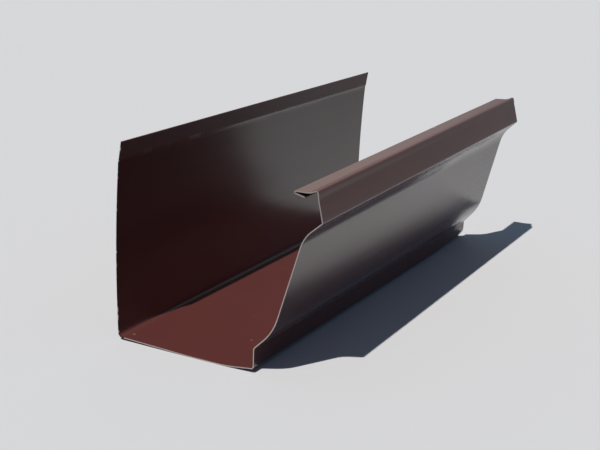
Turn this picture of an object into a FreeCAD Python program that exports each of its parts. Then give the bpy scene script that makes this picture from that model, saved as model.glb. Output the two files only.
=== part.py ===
import FreeCAD, Part
import math
import os

# Ogee eaves gutter, five-inch class with a high back: one roll-formed strip of coated
# aluminium sheet, sawn to a one-foot length.  Millimetres.  +X runs along the gutter, +Z is
# up, the ogee front faces -Y, and the back, which goes against the fascia board, faces +Y.
# The origin is on the ground, under the middle of the gutter.

# the strip it is rolled from
length = 304.8                  # one foot of gutter, cut square at both ends
sheet = 0.6                     # thickness of the coil

# bottom: a level band with margins that rise to the bends on either side
bottom_width = 88.9             # over the outside, from the back bend to the front bend
back_lift = 1.4                 # the back bend stands this far above the band
front_lift = 2.3                # and the front bend this far
back_margin = 46.0
front_margin = 18.0
back_margin_radius = 260.0
front_margin_radius = 80.0
back_bend_radius = 3.0          # outside radii of the bends
front_bend_radius = 1.8

# back
back_height = 114.4
back_strip = 8.5                # nailing strip above the crease
crease_lean = 1.3               # the crease leans in over the channel
strip_lean = 1.5                # and the strip's top edge leans in further
crease_bend = 3.0               # the crease is a soft bend of this radius
back_bow = 1.6                  # the panel below the crease springs outwards
bow_reach = 0.9                 # share of the panel that the bow's curve takes

# ogee front: foot, 45-degree rise to the belly, steep throat, and out to the front crease
foot_height = 11.7
foot_radius = 1.5
belly_rise = 11.4
belly_radius = 32.0
throat_reach = 27.4             # the throat stands this far in front of the foot
throat_height = 79.8
throat_radius = 20.0
front_reach = 37.9              # the front crease is the gutter's foremost edge
front_height = 89.0
front_radius = 1.2

# face strip above the front crease
face_top = 106.4
face_lean = 3.5                 # its top leans back over the channel
face_kink = 5.0                 # the strip straightens this far below its top
face_kink_lean = 2.8
face_kink_radius = 12.0
corner_radius = 1.4

# dished lip along the top of the face strip
lip_width = 13.9
lip_drop = 2.2                  # the tip is lower than the corner
dish_reach = 4.2                # the dish bends this far in from the corner
dish_depth = 3.1
dish_radius = 7.5

# open hem folded back under the lip
fold_radius = 0.8
fold_height = 1.7               # over both layers, at the fold
hem_width = 6.8
hem_opening = 1.5               # the free edge hangs this much below the fold


def bow_corner(start, end, bow, reach):
    """Corner between two points whose rounding is one long arc, standing proud by bow."""
    chord = end - start
    outwards = FreeCAD.Vector(0, chord.z, -chord.y).normalize() * -1
    proud = bow / (1 - reach / 2)
    half_turn = math.atan2(proud, chord.Length / 2)
    radius = reach * chord.Length / 2 / math.tan(half_turn)
    return (start + end) * 0.5 + outwards * proud, radius


def inward(direction):
    """Unit vector across the sheet, from its outer face to its inner face."""
    return FreeCAD.Vector(0, direction.z, -direction.y)


def sheet_line(corners, inset):
    """Lines and tangent arcs along the corners, moved inwards across the sheet by inset."""
    points = [point for point, radius in corners]
    runs = [(end - start).normalize() for start, end in zip(points, points[1:])]
    edges = []
    last = points[0] + inward(runs[0]) * inset
    for (point, radius), arriving, leaving in zip(corners[1:-1], runs, runs[1:]):
        across = inward(arriving) + inward(leaving)
        moved = point + across * (inset / (1 + arriving.dot(leaving)))
        side = math.copysign(1, inward(arriving).dot(leaving))
        moved_radius = radius - side * inset
        setback = moved_radius * math.tan(arriving.getAngle(leaving) / 2)
        arc_start = moved - arriving * setback
        arc_end = moved + leaving * setback
        centre = arc_start + inward(arriving) * (side * moved_radius)
        arc_middle = centre + (moved - centre).normalize() * moved_radius
        edges.append(Part.LineSegment(last, arc_start).toShape())
        edges.append(Part.Arc(arc_start, arc_middle, arc_end).toShape())
        last = arc_end
    edges.append(Part.LineSegment(last, points[-1] + inward(runs[-1]) * inset).toShape())
    return edges


# The section's outside face, from the top of the back, down, round the bottom and up the front
crease = FreeCAD.Vector(0, -crease_lean, back_height - back_strip)
top_edge = crease + FreeCAD.Vector(0, -strip_lean, back_strip)
back_bend = FreeCAD.Vector(0, 0, back_lift)
band_back = FreeCAD.Vector(0, -back_margin, 0)
band_front = FreeCAD.Vector(0, front_margin - bottom_width, 0)
front_bend = FreeCAD.Vector(0, -bottom_width, front_lift)
foot = front_bend + FreeCAD.Vector(0, 0, foot_height)
belly = foot + FreeCAD.Vector(0, -belly_rise, belly_rise)
throat = FreeCAD.Vector(0, -bottom_width - throat_reach, throat_height)
front_crease = FreeCAD.Vector(0, -bottom_width - front_reach, front_height)
corner = FreeCAD.Vector(0, front_crease.y + face_lean, face_top)
kink = FreeCAD.Vector(0, front_crease.y + face_kink_lean, face_top - face_kink)
dish = corner + FreeCAD.Vector(0, dish_reach, -dish_depth)
tip = corner + FreeCAD.Vector(0, lip_width, -lip_drop)
fold = tip - FreeCAD.Vector(0, 0, fold_height)
hem_edge = fold - FreeCAD.Vector(0, hem_width, hem_opening)

section = [
    (top_edge, 0),
    (crease, crease_bend),
    bow_corner(crease, back_bend, back_bow, bow_reach),
    (back_bend, back_bend_radius),
    (band_back, back_margin_radius),
    (band_front, front_margin_radius),
    (front_bend, front_bend_radius),
    (foot, foot_radius),
    (belly, belly_radius),
    (throat, throat_radius),
    (front_crease, front_radius),
    (kink, face_kink_radius),
    (corner, corner_radius),
    (dish, dish_radius),
    (tip, fold_radius),
    (fold, fold_radius),
    (hem_edge, 0),
]

outside = sheet_line(section, 0)
inside = sheet_line(section, sheet)


def cut_edge(outer, inner):
    """Straight edge across the sheet's thickness, between its two faces."""
    return Part.LineSegment(outer.Point, inner.Point).toShape()


first_edge = cut_edge(outside[0].Vertexes[0], inside[0].Vertexes[0])
last_edge = cut_edge(outside[-1].Vertexes[-1], inside[-1].Vertexes[-1])
outline = Part.Wire(outside + [last_edge] + inside[::-1] + [first_edge])
gutter = Part.Face(outline).extrude(FreeCAD.Vector(length, 0, 0))

# set down with the middle of its length and width over the origin
around = gutter.BoundBox
gutter.translate(FreeCAD.Vector(-around.Center.x, -around.Center.y, -around.ZMin))

os.makedirs("parts", exist_ok=True)
gutter.exportStep("parts/gutter_section.step")
print("valid", gutter.isValid(), "solids", len(gutter.Solids), "faces", len(gutter.Faces))
print("volume mm3", round(gutter.Volume, 1), "width", round(around.YLength, 2))
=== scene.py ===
import math

import bpy
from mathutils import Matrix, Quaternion, Vector


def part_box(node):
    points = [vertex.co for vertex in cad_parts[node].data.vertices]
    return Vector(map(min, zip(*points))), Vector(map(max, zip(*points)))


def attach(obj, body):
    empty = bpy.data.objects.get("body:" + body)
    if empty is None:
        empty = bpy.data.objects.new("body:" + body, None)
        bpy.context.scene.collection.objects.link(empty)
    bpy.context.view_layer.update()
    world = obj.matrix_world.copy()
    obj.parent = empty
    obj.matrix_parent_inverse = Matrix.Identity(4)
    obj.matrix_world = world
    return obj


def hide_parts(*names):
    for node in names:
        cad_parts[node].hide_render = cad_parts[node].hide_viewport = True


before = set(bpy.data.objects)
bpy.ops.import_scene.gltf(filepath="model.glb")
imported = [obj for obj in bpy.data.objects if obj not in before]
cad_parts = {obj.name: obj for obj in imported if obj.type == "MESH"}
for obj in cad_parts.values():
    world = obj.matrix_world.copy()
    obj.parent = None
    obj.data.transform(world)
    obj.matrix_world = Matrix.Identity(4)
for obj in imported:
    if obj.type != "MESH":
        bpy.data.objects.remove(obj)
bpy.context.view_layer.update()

# ---------------------------------------------------------------------------------------------
# The gutter is one strip of aluminium sheet run through forming rolls: nailing strip, bowed
# back, bottom, foot, ogee, face strip, dished lip and open hem are bends in the same sheet.
# A geometry node tree rounds each bend of its section and draws the section out to length.
# ---------------------------------------------------------------------------------------------
MM = 0.001
low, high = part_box("gutter_section")
length = high.x - low.x
sheet = 0.6 * MM

# the section's outside face, in millimetres; each bend is rounded to its own radius
bottom_width = 88.9
back_lift = 1.4                 # the bends on either side stand above the bottom's level band
front_lift = 2.3
back_margin = 46.0
front_margin = 18.0
back_margin_radius = 260.0
front_margin_radius = 80.0
back_bend_radius = 3.0
front_bend_radius = 1.8

back_height = (high.z - low.z) / MM
nailing_strip = 9.8
crease_lean = 1.3
strip_lean = 1.5
crease_radius = 0.7
joggle = 0.45                   # under the crease the back steps out again
joggle_height = 1.4
back_bow = 1.45
bow_reach = 0.9                 # share of the back that the bow's curve takes
bow_beyond_bend = 1.01          # the bow's outermost line, behind the back bend

foot_height = 11.7
foot_radius = 1.5
belly_rise = 11.4
belly_radius = 32.0
throat_reach = 27.4
throat_height = 79.8
throat_radius = 20.0
front_reach = 37.9
front_height = 89.0
front_radius = 1.2

face_top = 106.2
face_lean = 3.5
face_kink = 5.0
face_kink_lean = 2.8
face_kink_radius = 12.0
corner_radius = 1.4

lip_width = 13.9
lip_drop = 2.3
dish_reach = 4.6
dish_depth = 2.1
dish_radius = 10.0
fold_radius = 0.8
fold_height = 1.7
hem_width = 6.3
hem_opening = 1.6


def bow_corner(start, end, bow, reach):
    """A corner whose rounding takes nearly the whole panel, so that the panel stands proud."""
    half = (end - start).length / 2
    proud = bow / (1 - reach / 2)
    outwards = Vector((start.y - end.y, end.x - start.x)).normalized()
    return (start + end) / 2 + outwards * proud, reach * half * half / proud


crease = Vector((-crease_lean, back_height - nailing_strip))
under_crease = crease + Vector((joggle, -joggle_height))
back_bend = Vector((0, back_lift))
front_bend = Vector((-bottom_width, front_lift))
foot = front_bend + Vector((0, foot_height))
front_crease = Vector((-bottom_width - front_reach, front_height))
face_corner = Vector((front_crease.x + face_lean, face_top))
lip_tip = face_corner + Vector((lip_width, -lip_drop))
hem_fold = lip_tip - Vector((0, fold_height))

# each corner of the outside face, seen from the +X end, with the outside radius of its bend
section = [
    (crease + Vector((-strip_lean, nailing_strip)), 0),
    (crease, crease_radius),
    (under_crease, crease_radius),
    bow_corner(under_crease, back_bend, back_bow, bow_reach),
    (back_bend, back_bend_radius),
    (Vector((-back_margin, 0)), back_margin_radius),
    (Vector((front_margin - bottom_width, 0)), front_margin_radius),
    (front_bend, front_bend_radius),
    (foot, foot_radius),
    (foot + Vector((-belly_rise, belly_rise)), belly_radius),
    (Vector((-bottom_width - throat_reach, throat_height)), throat_radius),
    (front_crease, front_radius),
    (Vector((front_crease.x + face_kink_lean, face_top - face_kink)), face_kink_radius),
    (face_corner, corner_radius),
    (face_corner + Vector((dish_reach, -dish_depth)), dish_radius),
    (lip_tip, fold_radius),
    (hem_fold, fold_radius),
    (hem_fold - Vector((hem_width, hem_opening)), 0),
]


def add(tree, kind, links=(), **settings):
    """One node, with its settings and what is linked or written to its inputs."""
    node = tree.nodes.new(kind)
    for name, value in settings.items():
        setattr(node, name, value)
    for socket, source in dict(links).items():
        if isinstance(source, bpy.types.NodeSocket):
            tree.links.new(source, node.inputs[socket])
        else:
            node.inputs[socket].default_value = source
    return node


def rolling_tree():
    """Bends the section, draws it out along the gutter, and lets the thin sheet wander."""
    tree = bpy.data.node_groups.new("roll_forming", "GeometryNodeTree")
    face = tree.interface
    face.new_socket("Section", in_out="INPUT", socket_type="NodeSocketGeometry")
    for name, kind in (("Length", "Float"), ("Panel step", "Float"), ("Stations", "Int"),
                       ("Bend facets", "Int"), ("Wander", "Float"), ("Wander size", "Float"),
                       ("Dent depth", "Float"), ("Dent size", "Vector"),
                       ("Dent place", "Vector"), ("Sheet thickness", "Float"),
                       ("Margin back", "Float"), ("Foot front", "Float"),
                       ("Foot top", "Float"), ("Foot drop", "Float"), ("Front lean", "Float"),
                       ("Front growth", "Float"), ("Back lean", "Float"), ("Curl", "Float"),
                       ("Curl height", "Float"), ("Curl start", "Float"),
                       ("Paint", "Material"), ("Cut edge", "Material")):
        face.new_socket(name, in_out="INPUT", socket_type="NodeSocket" + kind)
    face.new_socket("Sheet", in_out="OUTPUT", socket_type="NodeSocketGeometry")
    given = add(tree, "NodeGroupInput").outputs

    line = add(tree, "GeometryNodeMeshToCurve", {0: given["Section"]})
    radius = add(tree, "GeometryNodeInputNamedAttribute", {"Name": "bend_radius"},
                 data_type="FLOAT")
    bent = add(tree, "GeometryNodeFilletCurve",
               {"Curve": line.outputs[0], "Count": given["Bend facets"],
                "Radius": radius.outputs["Attribute"]}, mode="POLY")

    # more points along the flats, so that they can wander
    reached = add(tree, "GeometryNodeSplineParameter").outputs["Length"]
    following = add(tree, "GeometryNodeOffsetPointInCurve", {"Offset": 1})
    reached_next = add(tree, "GeometryNodeFieldAtIndex",
                       {"Index": following.outputs["Point Index"], "Value": reached},
                       data_type="FLOAT", domain="POINT")
    run = add(tree, "ShaderNodeMath", {0: reached_next.outputs[0], 1: reached},
              operation="SUBTRACT")
    cuts = add(tree, "ShaderNodeMath", {0: run.outputs[0], 1: given["Panel step"]},
               operation="DIVIDE")
    stepped = add(tree, "GeometryNodeSubdivideCurve",
                  {"Curve": bent.outputs[0], "Cuts": cuts.outputs[0]})

    half = add(tree, "ShaderNodeMath", {0: given["Length"], 1: 0.5}, operation="MULTIPLY")
    back_half = add(tree, "ShaderNodeMath", {0: given["Length"], 1: -0.5},
                    operation="MULTIPLY")
    start = add(tree, "ShaderNodeCombineXYZ", {"X": back_half.outputs[0]})
    end = add(tree, "ShaderNodeCombineXYZ", {"X": half.outputs[0]})
    rail = add(tree, "GeometryNodeCurvePrimitiveLine",
               {"Start": start.outputs[0], "End": end.outputs[0]})
    stations = add(tree, "GeometryNodeResampleCurve",
                   {"Curve": rail.outputs[0], "Count": given["Stations"]})
    drawn = add(tree, "GeometryNodeCurveToMesh",
                {"Curve": stations.outputs[0], "Profile Curve": stepped.outputs[0]})

    # the section changes evenly towards the +X end: the front stands steeper and taller, its
    # foot comes down to the ground, and the back leans in
    outward = add(tree, "GeometryNodeFlipFaces", {0: drawn.outputs[0]})
    place = add(tree, "GeometryNodeInputPosition").outputs[0]
    at = add(tree, "ShaderNodeSeparateXYZ", {0: place}).outputs
    endward = add(tree, "ShaderNodeMapRange",
                  {"Value": at["X"], "From Min": back_half.outputs[0],
                   "From Max": half.outputs[0]})
    ahead = add(tree, "ShaderNodeMapRange",
                {"Value": at["Y"], "From Min": given["Margin back"],
                 "From Max": given["Foot front"]})
    behind = add(tree, "ShaderNodeMath", {0: 1.0, 1: ahead.outputs[0]},
                 operation="SUBTRACT")
    above = add(tree, "ShaderNodeMath", {0: at["Z"], 1: given["Foot top"]},
                operation="SUBTRACT")
    rise = add(tree, "ShaderNodeMath", {0: above.outputs[0], 1: 0.0}, operation="MAXIMUM")
    before = add(tree, "ShaderNodeMath", {0: given["Foot front"], 1: at["Y"]},
                 operation="SUBTRACT")
    reach = add(tree, "ShaderNodeMath", {0: before.outputs[0], 1: 0.0},
                operation="MAXIMUM")
    front_rise = add(tree, "ShaderNodeMath", {0: rise.outputs[0], 1: ahead.outputs[0]},
                     operation="MULTIPLY")
    back_rise = add(tree, "ShaderNodeMath", {0: at["Z"], 1: behind.outputs[0]},
                    operation="MULTIPLY")
    back_in = add(tree, "ShaderNodeMath", {0: back_rise.outputs[0], 1: given["Back lean"]},
                  operation="MULTIPLY")
    front_in = add(tree, "ShaderNodeMath",
                   {0: front_rise.outputs[0], 1: given["Front lean"]}, operation="MULTIPLY")
    inward = add(tree, "ShaderNodeMath", {0: front_in.outputs[0], 1: back_in.outputs[0]},
                 operation="SUBTRACT")
    sunk = add(tree, "ShaderNodeMath", {0: ahead.outputs[0], 1: given["Foot drop"]},
               operation="MULTIPLY")
    taller = add(tree, "ShaderNodeMath",
                 {0: front_rise.outputs[0], 1: given["Front growth"]}, operation="MULTIPLY")
    raised = add(tree, "ShaderNodeMath",
                 {0: reach.outputs[0], 1: given["Front lean"], 2: taller.outputs[0]},
                 operation="MULTIPLY_ADD")
    upward = add(tree, "ShaderNodeMath", {0: raised.outputs[0], 1: sunk.outputs[0]},
                 operation="SUBTRACT")
    end_shift = add(tree, "ShaderNodeCombineXYZ",
                    {"Y": inward.outputs[0], "Z": upward.outputs[0]})
    shifted_here = add(tree, "ShaderNodeVectorMath",
                       {0: end_shift.outputs[0], "Scale": endward.outputs[0]},
                       operation="SCALE")
    reshaped = add(tree, "GeometryNodeSetPosition",
                   {"Geometry": outward.outputs[0], "Offset": shifted_here.outputs[0]})

    # at the same end the foot's lower edge is curled under
    lowness = add(tree, "ShaderNodeMapRange",
                  {"Value": at["Z"], "From Min": given["Curl height"], "From Max": 0.0})
    endwise = add(tree, "ShaderNodeMapRange",
                  {"Value": at["X"], "From Min": given["Curl start"],
                   "From Max": half.outputs[0]})
    low_sharply = add(tree, "ShaderNodeMath", {0: lowness.outputs[0], 1: 2.0},
                      operation="POWER")
    low_end = add(tree, "ShaderNodeMath", {0: low_sharply.outputs[0], 1: endwise.outputs[0]},
                  operation="MULTIPLY")
    low_front = add(tree, "ShaderNodeMath", {0: low_end.outputs[0], 1: ahead.outputs[0]},
                    operation="MULTIPLY")
    under = add(tree, "ShaderNodeMath", {0: low_front.outputs[0], 1: given["Curl"]},
                operation="MULTIPLY")
    tucked = add(tree, "ShaderNodeCombineXYZ", {"Y": under.outputs[0]})
    curled = add(tree, "GeometryNodeSetPosition",
                 {"Geometry": reshaped.outputs[0], "Offset": tucked.outputs[0]})

    # the thin sheet is never quite flat: it wanders inwards by less than its thickness
    normal = add(tree, "GeometryNodeInputNormal").outputs[0]
    wave = add(tree, "ShaderNodeTexNoise",
               {"Vector": place, "Scale": given["Wander size"], "Detail": 1.0})
    wander = add(tree, "ShaderNodeMath", {0: wave.outputs[0], 1: given["Wander"]},
                 operation="MULTIPLY")

    # one long shallow dent, just under the front crease
    away = add(tree, "ShaderNodeVectorMath", {0: place, 1: given["Dent place"]},
               operation="SUBTRACT")
    spread = add(tree, "ShaderNodeVectorMath", {0: away.outputs[0], 1: given["Dent size"]},
                 operation="DIVIDE")
    far = add(tree, "ShaderNodeVectorMath", {0: spread.outputs[0], 1: spread.outputs[0]},
              operation="DOT_PRODUCT")
    minus = add(tree, "ShaderNodeMath", {0: far.outputs["Value"], 1: -1.0},
                operation="MULTIPLY")
    bell = add(tree, "ShaderNodeMath", {0: minus.outputs[0]}, operation="EXPONENT")
    dent = add(tree, "ShaderNodeMath",
               {0: bell.outputs[0], 1: given["Dent depth"], 2: wander.outputs[0]},
               operation="MULTIPLY_ADD")
    inwards = add(tree, "ShaderNodeMath", {0: dent.outputs[0], 1: -1.0}, operation="MULTIPLY")
    shift = add(tree, "ShaderNodeVectorMath", {0: normal, "Scale": inwards.outputs[0]},
                operation="SCALE")
    outside = add(tree, "GeometryNodeSetPosition",
                  {"Geometry": curled.outputs[0], "Offset": shift.outputs[0]})

    # the inside face lies one sheet thickness in, and the rims join the two
    depth = add(tree, "ShaderNodeMath", {0: given["Sheet thickness"], 1: -1.0},
                operation="MULTIPLY")
    inside = add(tree, "GeometryNodeExtrudeMesh",
                 {"Mesh": outside.outputs[0], "Offset Scale": depth.outputs[0],
                  "Individual": False}, mode="FACES")
    inner = add(tree, "GeometryNodeFlipFaces", {0: inside.outputs["Mesh"]})
    both = add(tree, "GeometryNodeJoinGeometry")
    tree.links.new(outside.outputs[0], both.inputs[0])
    tree.links.new(inner.outputs[0], both.inputs[0])
    welded = add(tree, "GeometryNodeMergeByDistance",
                 {"Geometry": both.outputs[0], "Distance": 0.01 * MM})
    real = add(tree, "GeometryNodeRealizeInstances", {0: welded.outputs[0]})
    painted = add(tree, "GeometryNodeSetMaterial",
                  {"Geometry": real.outputs[0], "Material": given["Paint"]})

    # what faces along the gutter is a sawn end, without paint
    nearly_square = 0.9
    facing = add(tree, "ShaderNodeSeparateXYZ", {0: normal})
    endways = add(tree, "ShaderNodeMath", {0: facing.outputs["X"]}, operation="ABSOLUTE")
    cut_end = add(tree, "FunctionNodeCompare", {0: endways.outputs[0], 1: nearly_square},
                  data_type="FLOAT", operation="GREATER_THAN")
    ended = add(tree, "GeometryNodeSetMaterial",
                {"Geometry": painted.outputs[0], "Selection": cut_end.outputs[0],
                 "Material": given["Cut edge"]})
    add(tree, "NodeGroupOutput", {"Sheet": ended.outputs[0]})
    return tree


def linear(code):
    """An sRGB hex colour as the linear colour that a shader takes."""
    parts = [int(code[i:i + 2], 16) / 255 for i in (1, 3, 5)]
    return [c / 12.92 if c <= 0.04045 else ((c + 0.055) / 1.055) ** 2.4 for c in parts] + [1]


def polyester_coil_coat():
    """Baked polyester paint, rolled onto the coil before forming: smooth, glossy, brown."""
    material = bpy.data.materials.new("polyester_coil_coat")
    material.use_nodes = True
    tree = material.node_tree
    shader = tree.nodes["Principled BSDF"]
    where = add(tree, "ShaderNodeTexCoord").outputs["Object"]

    # a clear resin surface, with a trace of sheen
    shader.inputs["IOR"].default_value = 1.5
    shader.inputs["Sheen Weight"].default_value = 0.11
    shader.inputs["Sheen Roughness"].default_value = 0.5

    # the shade drifts a little over a few centimetres
    drifts_a_metre = 30.0           # one every 33 mm
    drift = add(tree, "ShaderNodeTexNoise",
                {"Vector": where, "Scale": drifts_a_metre, "Detail": 2.0})
    brown = add(tree, "ShaderNodeMix",
                {0: drift.outputs[0], 6: linear("#5b2922"), 7: linear("#632d26")},
                data_type="RGBA")

    # dust: pale specks about a millimetre wide, on average five centimetres apart, on what
    # faces up
    cells_a_metre = 90.0            # one every 11 mm, and a quarter of them may hold a speck
    empty_share = 0.75
    cells = add(tree, "ShaderNodeTexVoronoi", {"Vector": where, "Scale": cells_a_metre})
    chance = add(tree, "ShaderNodeSeparateColor", {0: cells.outputs["Color"]})
    chosen = add(tree, "ShaderNodeMath", {0: chance.outputs[0], 1: empty_share},
                 operation="GREATER_THAN")
    speck = add(tree, "ShaderNodeMapRange",
                {"Value": cells.outputs["Distance"], "From Min": 0.1, "From Max": 0.05})
    facing = add(tree, "ShaderNodeNewGeometry").outputs["Normal"]
    upward = add(tree, "ShaderNodeSeparateXYZ", {0: facing}).outputs["Z"]
    settles = add(tree, "ShaderNodeMapRange",
                  {"Value": upward, "From Min": 0.3, "From Max": 0.8})
    settled = add(tree, "ShaderNodeMath", {0: chosen.outputs[0], 1: settles.outputs[0]},
                  operation="MULTIPLY")
    dust = add(tree, "ShaderNodeMath", {0: settled.outputs[0], 1: speck.outputs[0]},
               operation="MULTIPLY")
    dusty = add(tree, "ShaderNodeMix",
                {0: dust.outputs[0], 6: brown.outputs[2], 7: linear("#8a6a60")},
                data_type="RGBA")

    # scuffs: short upright scratches in small groups where the strip meets the back
    crease_height = (back_height - nailing_strip) * MM
    scuff_reach = 1.3 * MM
    scuff_groups_a_metre = 45.0     # one every 22 mm
    scratches_a_metre = 900.0       # one every 1.1 mm
    across = add(tree, "ShaderNodeSeparateXYZ", {0: where}).outputs
    at_crease = add(tree, "ShaderNodeMath",
                    {0: across["Z"], 1: crease_height, 2: scuff_reach}, operation="COMPARE")
    on_back = add(tree, "ShaderNodeMath", {0: across["Y"], 1: 0.0}, operation="GREATER_THAN")
    rubbed = add(tree, "ShaderNodeMath", {0: at_crease.outputs[0], 1: on_back.outputs[0]},
                 operation="MULTIPLY")
    groups = add(tree, "ShaderNodeTexNoise",
                 {"W": across["X"], "Scale": scuff_groups_a_metre, "Detail": 0.0},
                 noise_dimensions="1D")
    scratches = add(tree, "ShaderNodeTexNoise",
                    {"W": across["X"], "Scale": scratches_a_metre, "Detail": 1.0},
                    noise_dimensions="1D")
    both = add(tree, "ShaderNodeMath", {0: groups.outputs[0], 1: scratches.outputs[0]},
               operation="MULTIPLY")
    deep = add(tree, "ShaderNodeMapRange",
               {"Value": both.outputs[0], "From Min": 0.36, "From Max": 0.42})
    scuff = add(tree, "ShaderNodeMath", {0: deep.outputs[0], 1: rubbed.outputs[0]},
                operation="MULTIPLY")
    scuffed = add(tree, "ShaderNodeMix",
                  {0: scuff.outputs[0], 6: dusty.outputs[2], 7: linear("#8f827b")},
                  data_type="RGBA")
    tree.links.new(scuffed.outputs[2], shader.inputs["Base Color"])

    # faint streaks run along the gutter, as forming rolls leave them, and the nailing strip
    # is duller than the rest
    streaks_a_metre = (8.0, 260.0, 260.0)   # each 125 mm long and 4 mm wide
    duller = 0.3
    strip_border = 0.4 * MM
    stretch = add(tree, "ShaderNodeVectorMath", {0: where, 1: streaks_a_metre},
                  operation="MULTIPLY")
    streaks = add(tree, "ShaderNodeTexNoise",
                  {"Vector": stretch.outputs[0], "Scale": 1.0, "Detail": 3.0})
    gloss = add(tree, "ShaderNodeMapRange",
                {"Value": streaks.outputs[0], "To Min": 0.17, "To Max": 0.25})
    strip = add(tree, "ShaderNodeMapRange",
                {"Value": across["Z"], "From Min": crease_height,
                 "From Max": crease_height + strip_border, "To Max": duller})
    rough = add(tree, "ShaderNodeMath",
                {0: strip.outputs[0], 1: on_back.outputs[0], 2: gloss.outputs[0]},
                operation="MULTIPLY_ADD")
    tree.links.new(rough.outputs[0], shader.inputs["Roughness"])

    # orange peel, two millimetres from hump to hump
    humps_a_metre = 500.0
    peel = add(tree, "ShaderNodeTexNoise",
               {"Vector": where, "Scale": humps_a_metre, "Detail": 1.0})
    bumps = add(tree, "ShaderNodeBump",
                {"Height": peel.outputs[0], "Strength": 0.04, "Distance": 0.5 * MM})
    tree.links.new(bumps.outputs[0], shader.inputs["Normal"])
    return material


def cut_aluminium():
    """Bare sawn edge of the sheet: dull metal, finely scored, grimy down the back."""
    material = bpy.data.materials.new("cut_aluminium")
    material.use_nodes = True
    tree = material.node_tree
    shader = tree.nodes["Principled BSDF"]
    shader.inputs["Metallic"].default_value = 1.0
    where = add(tree, "ShaderNodeTexCoord").outputs["Object"]

    # saw scores, taken as a fifth of a millimetre apart and drawn three times as coarse to
    # show
    scores_a_metre = 1600.0
    scores = add(tree, "ShaderNodeTexNoise",
                 {"Vector": where, "Scale": scores_a_metre, "Detail": 2.0})
    rough = add(tree, "ShaderNodeMapRange",
                {"Value": scores.outputs[0], "To Min": 0.35, "To Max": 0.65})
    tree.links.new(rough.outputs[0], shader.inputs["Roughness"])
    bumps = add(tree, "ShaderNodeBump",
                {"Height": scores.outputs[0], "Strength": 0.3, "Distance": 0.1 * MM})
    tree.links.new(bumps.outputs[0], shader.inputs["Normal"])

    # grime covers the back's edge but for a few bright nicks
    grime_reach = 4.0               # millimetres in from the back bend
    nicks_a_metre = 350.0           # one every 3 mm
    across = add(tree, "ShaderNodeSeparateXYZ", {0: where}).outputs["Y"]
    back = add(tree, "ShaderNodeMath", {0: across, 1: (back_line - grime_reach) * MM},
               operation="GREATER_THAN")
    nicks = add(tree, "ShaderNodeTexNoise",
                {"Vector": where, "Scale": nicks_a_metre, "Detail": 3.0})
    covered = add(tree, "ShaderNodeMapRange",
                  {"Value": nicks.outputs[0], "From Min": 0.66, "From Max": 0.6})
    grime = add(tree, "ShaderNodeMath", {0: back.outputs[0], 1: covered.outputs[0]},
                operation="MULTIPLY")
    metal = add(tree, "ShaderNodeMix",
                {0: grime.outputs[0], 6: linear("#b9aea9"), 7: linear("#1d1715")},
                data_type="RGBA")
    tree.links.new(metal.outputs[2], shader.inputs["Base Color"])
    return material


back_line = high.y / MM - bow_beyond_bend
paint = polyester_coil_coat()
bare = cut_aluminium()

section = [(point + Vector((back_line, 0)), radius) for point, radius in section]
corners = [Vector((-point.x, -point.y, 0)) * MM for point, _ in section]
outline = bpy.data.meshes.new("section")
outline.from_pydata(corners, [(i, i + 1) for i in range(len(corners) - 1)], [])
radii = outline.attributes.new("bend_radius", "FLOAT", "POINT")
for item, (_, radius) in zip(radii.data, section):
    item.value = radius * MM

rolled = bpy.data.objects.new("rolled", outline)
bpy.context.scene.collection.objects.link(rolled)
forming = rolled.modifiers.new("roll_forming", "NODES")
forming.node_group = rolling_tree()
trimmed = 0.1 * MM              # keeps the wandering sheet inside the gutter's length
waves_a_metre = 14.0            # one every 70 mm
dent_along = 70.0
dent_below = 5.0                # under the front crease
dent_spread = (15 * MM, 15 * MM, 5 * MM)
front_from = 70.0               # in front of the back bend
curl_along = 100.0
settings = {
    "Length": length - trimmed, "Panel step": 2.5 * MM, "Stations": 103, "Bend facets": 9,
    "Wander": 0.25 * MM, "Wander size": waves_a_metre, "Dent depth": 0.6 * MM,
    "Dent size": dent_spread,
    "Dent place": (dent_along * MM, (back_line + front_crease.x) * MM,
                   (front_height - dent_below) * MM),
    "Sheet thickness": sheet, "Margin back": (back_line - front_from) * MM,
    "Foot front": (back_line - bottom_width) * MM, "Foot top": (front_lift + foot_height) * MM,
    "Foot drop": 2.2 * MM, "Front lean": 0.046, "Front growth": 0.039, "Back lean": 0.008,
    "Curl": 4 * MM, "Curl height": 7 * MM, "Curl start": curl_along * MM,
    "Paint": paint, "Cut edge": bare,
}
for socket in forming.node_group.interface.items_tree:
    if socket.in_out == "INPUT" and socket.name in settings:
        forming[socket.identifier] = settings[socket.name]
whole = bpy.data.meshes.new_from_object(
    rolled.evaluated_get(bpy.context.evaluated_depsgraph_get()))
bpy.data.objects.remove(rolled)
whole.name = "gutter_sheet"
whole.materials.pop(index=0)
crisp_from = math.radians(40)
whole.shade_smooth()
whole.set_sharp_from_angle(angle=crisp_from)
gutter = bpy.data.objects.new("gutter_sheet", whole)
bpy.context.scene.collection.objects.link(gutter)
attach(gutter, "root")
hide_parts("gutter_section")

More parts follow.
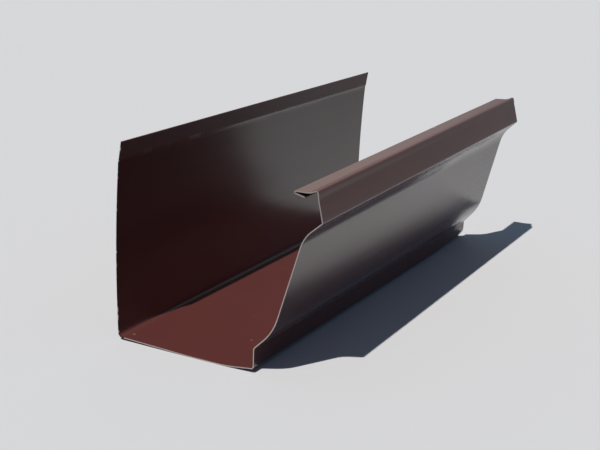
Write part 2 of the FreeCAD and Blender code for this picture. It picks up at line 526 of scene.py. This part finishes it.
# ---------------------------------------------------------------------------------------------
# The floor that the gutter stands on: plain pale board, matt, and wide enough to fill the
# view. What the paint mirrors of it is a painted reflection, brighter near and darker far
# off, and it throws little light back: a darker, cooler tone that paints shade on the gutter.
# ---------------------------------------------------------------------------------------------
floor_half = 8.0
# the floor as seen, and the darker, cooler tone it bounces: painted shade on the gutter
seen_tone, painted_shade_bounce_tone = linear("#d8d5d2"), linear("#5e676b")
# painted reflection: the floor's tone as the paint mirrors it, brighter near and darker far
painted_reflection_near, painted_reflection_far = linear("#e8e6e2"), linear("#7e7a75")
reflection_dims_from, reflection_dims_to = 0.22, 1.1
floor_mesh = bpy.data.meshes.new("floor")
floor_mesh.from_pydata(
    [(x * floor_half, y * floor_half, low.z) for x, y in ((-1, -1), (1, -1), (1, 1), (-1, 1))],
    [], [(0, 1, 2, 3)])
floor = bpy.data.objects.new("floor", floor_mesh)
bpy.context.scene.collection.objects.link(floor)
matt_board = bpy.data.materials.new("matt_board")
matt_board.use_nodes = True
board = matt_board.node_tree.nodes["Principled BSDF"]
board.inputs["Roughness"].default_value = 0.9
board.inputs["Specular IOR Level"].default_value = 0.0
ray = add(matt_board.node_tree, "ShaderNodeLightPath").outputs
ground = add(matt_board.node_tree, "ShaderNodeTexCoord").outputs["Object"]
distance = add(matt_board.node_tree, "ShaderNodeVectorMath", {0: ground}, operation="LENGTH")
far_off = add(matt_board.node_tree, "ShaderNodeMapRange",
              {"Value": distance.outputs["Value"], "From Min": reflection_dims_from,
               "From Max": reflection_dims_to})
# painted reflection, going from the near tone to the far one with distance
painted_reflection = add(matt_board.node_tree, "ShaderNodeMix",
               {0: far_off.outputs[0], 6: painted_reflection_near, 7: painted_reflection_far},
               data_type="RGBA")
# glossy rays take the painted reflection, the rest the painted shade's darker, cooler tone
bounced = add(matt_board.node_tree, "ShaderNodeMix",
              {0: ray["Is Glossy Ray"], 6: painted_shade_bounce_tone, 7: painted_reflection.outputs[2]},
              data_type="RGBA")
pale = add(matt_board.node_tree, "ShaderNodeMix",
           {0: ray["Is Camera Ray"], 6: bounced.outputs[2], 7: seen_tone},
           data_type="RGBA")
matt_board.node_tree.links.new(pale.outputs[2], board.inputs["Base Color"])
floor_mesh.materials.append(matt_board)

# ---------------------------------------------------------------------------------------------
# Light: one key, small and high, over the gutter's -X end, so that the shadow lies under the
# overhanging front and runs out past the +X end. The sky is a dusky blue, with a bright patch
# low beyond the back of the +X end and a fainter haze beside it.
# ---------------------------------------------------------------------------------------------
light_path = Vector((0.59, -0.02, -1))
bright_patch = Vector((0.80, 0.50, 0.30)).normalized()
haze_patch = Vector((0.85, 0.0, 0.46)).normalized()
sky_blue, sky_pale = linear("#445870"), linear("#c8c6be")

key = bpy.data.objects.new("key", bpy.data.lights.new("key", "SUN"))
key.data.energy = 3.3
key.data.angle = math.radians(0.8)
key.rotation_mode = "QUATERNION"
key.rotation_quaternion = light_path.to_track_quat("-Z", "Y")
bpy.context.scene.collection.objects.link(key)

world = bpy.data.worlds.new("surround")
world.use_nodes = True
around = add(world.node_tree, "ShaderNodeTexCoord").outputs["Generated"]
towards = add(world.node_tree, "ShaderNodeVectorMath", {0: around, 1: bright_patch},
              operation="DOT_PRODUCT")
glow = add(world.node_tree, "ShaderNodeMapRange",
           {"Value": towards.outputs["Value"], "From Min": 0.94, "From Max": 0.995})
beside = add(world.node_tree, "ShaderNodeVectorMath", {0: around, 1: haze_patch},
             operation="DOT_PRODUCT")
haze = add(world.node_tree, "ShaderNodeMapRange",
           {"Value": beside.outputs["Value"], "From Min": 0.82, "From Max": 1.0,
            "To Max": 0.5})
sky = add(world.node_tree, "ShaderNodeMath", {0: glow.outputs[0], 1: haze.outputs[0]},
          operation="MAXIMUM")
shade = add(world.node_tree, "ShaderNodeMix",
            {0: sky.outputs[0], 6: sky_blue, 7: sky_pale},
            data_type="RGBA")
world.node_tree.links.new(shade.outputs[2], world.node_tree.nodes["Background"].inputs[0])
bpy.context.scene.world = world

# ---------------------------------------------------------------------------------------------
# Camera: off the gutter's -X end, on the side of its front and a little above it, looking
# down into the channel.
# ---------------------------------------------------------------------------------------------
eye = Vector((-0.6583, -0.3213, 0.2539))
heading = math.radians(28.13)
tilt = math.radians(16.27)
bank = math.radians(1.99)
camera = bpy.data.objects.new("camera", bpy.data.cameras.new("camera"))
camera.data.lens = 71.6
camera.data.sensor_width = 36.0
camera.location = eye
gaze = Vector((math.cos(heading) * math.cos(tilt), math.sin(heading) * math.cos(tilt),
               -math.sin(tilt)))
camera.rotation_mode = "QUATERNION"
camera.rotation_quaternion = gaze.to_track_quat("-Z", "Y") @ Quaternion((0, 0, 1), bank)
bpy.context.scene.collection.objects.link(camera)
bpy.context.scene.camera = camera

bpy.context.scene.view_settings.view_transform = "Standard"
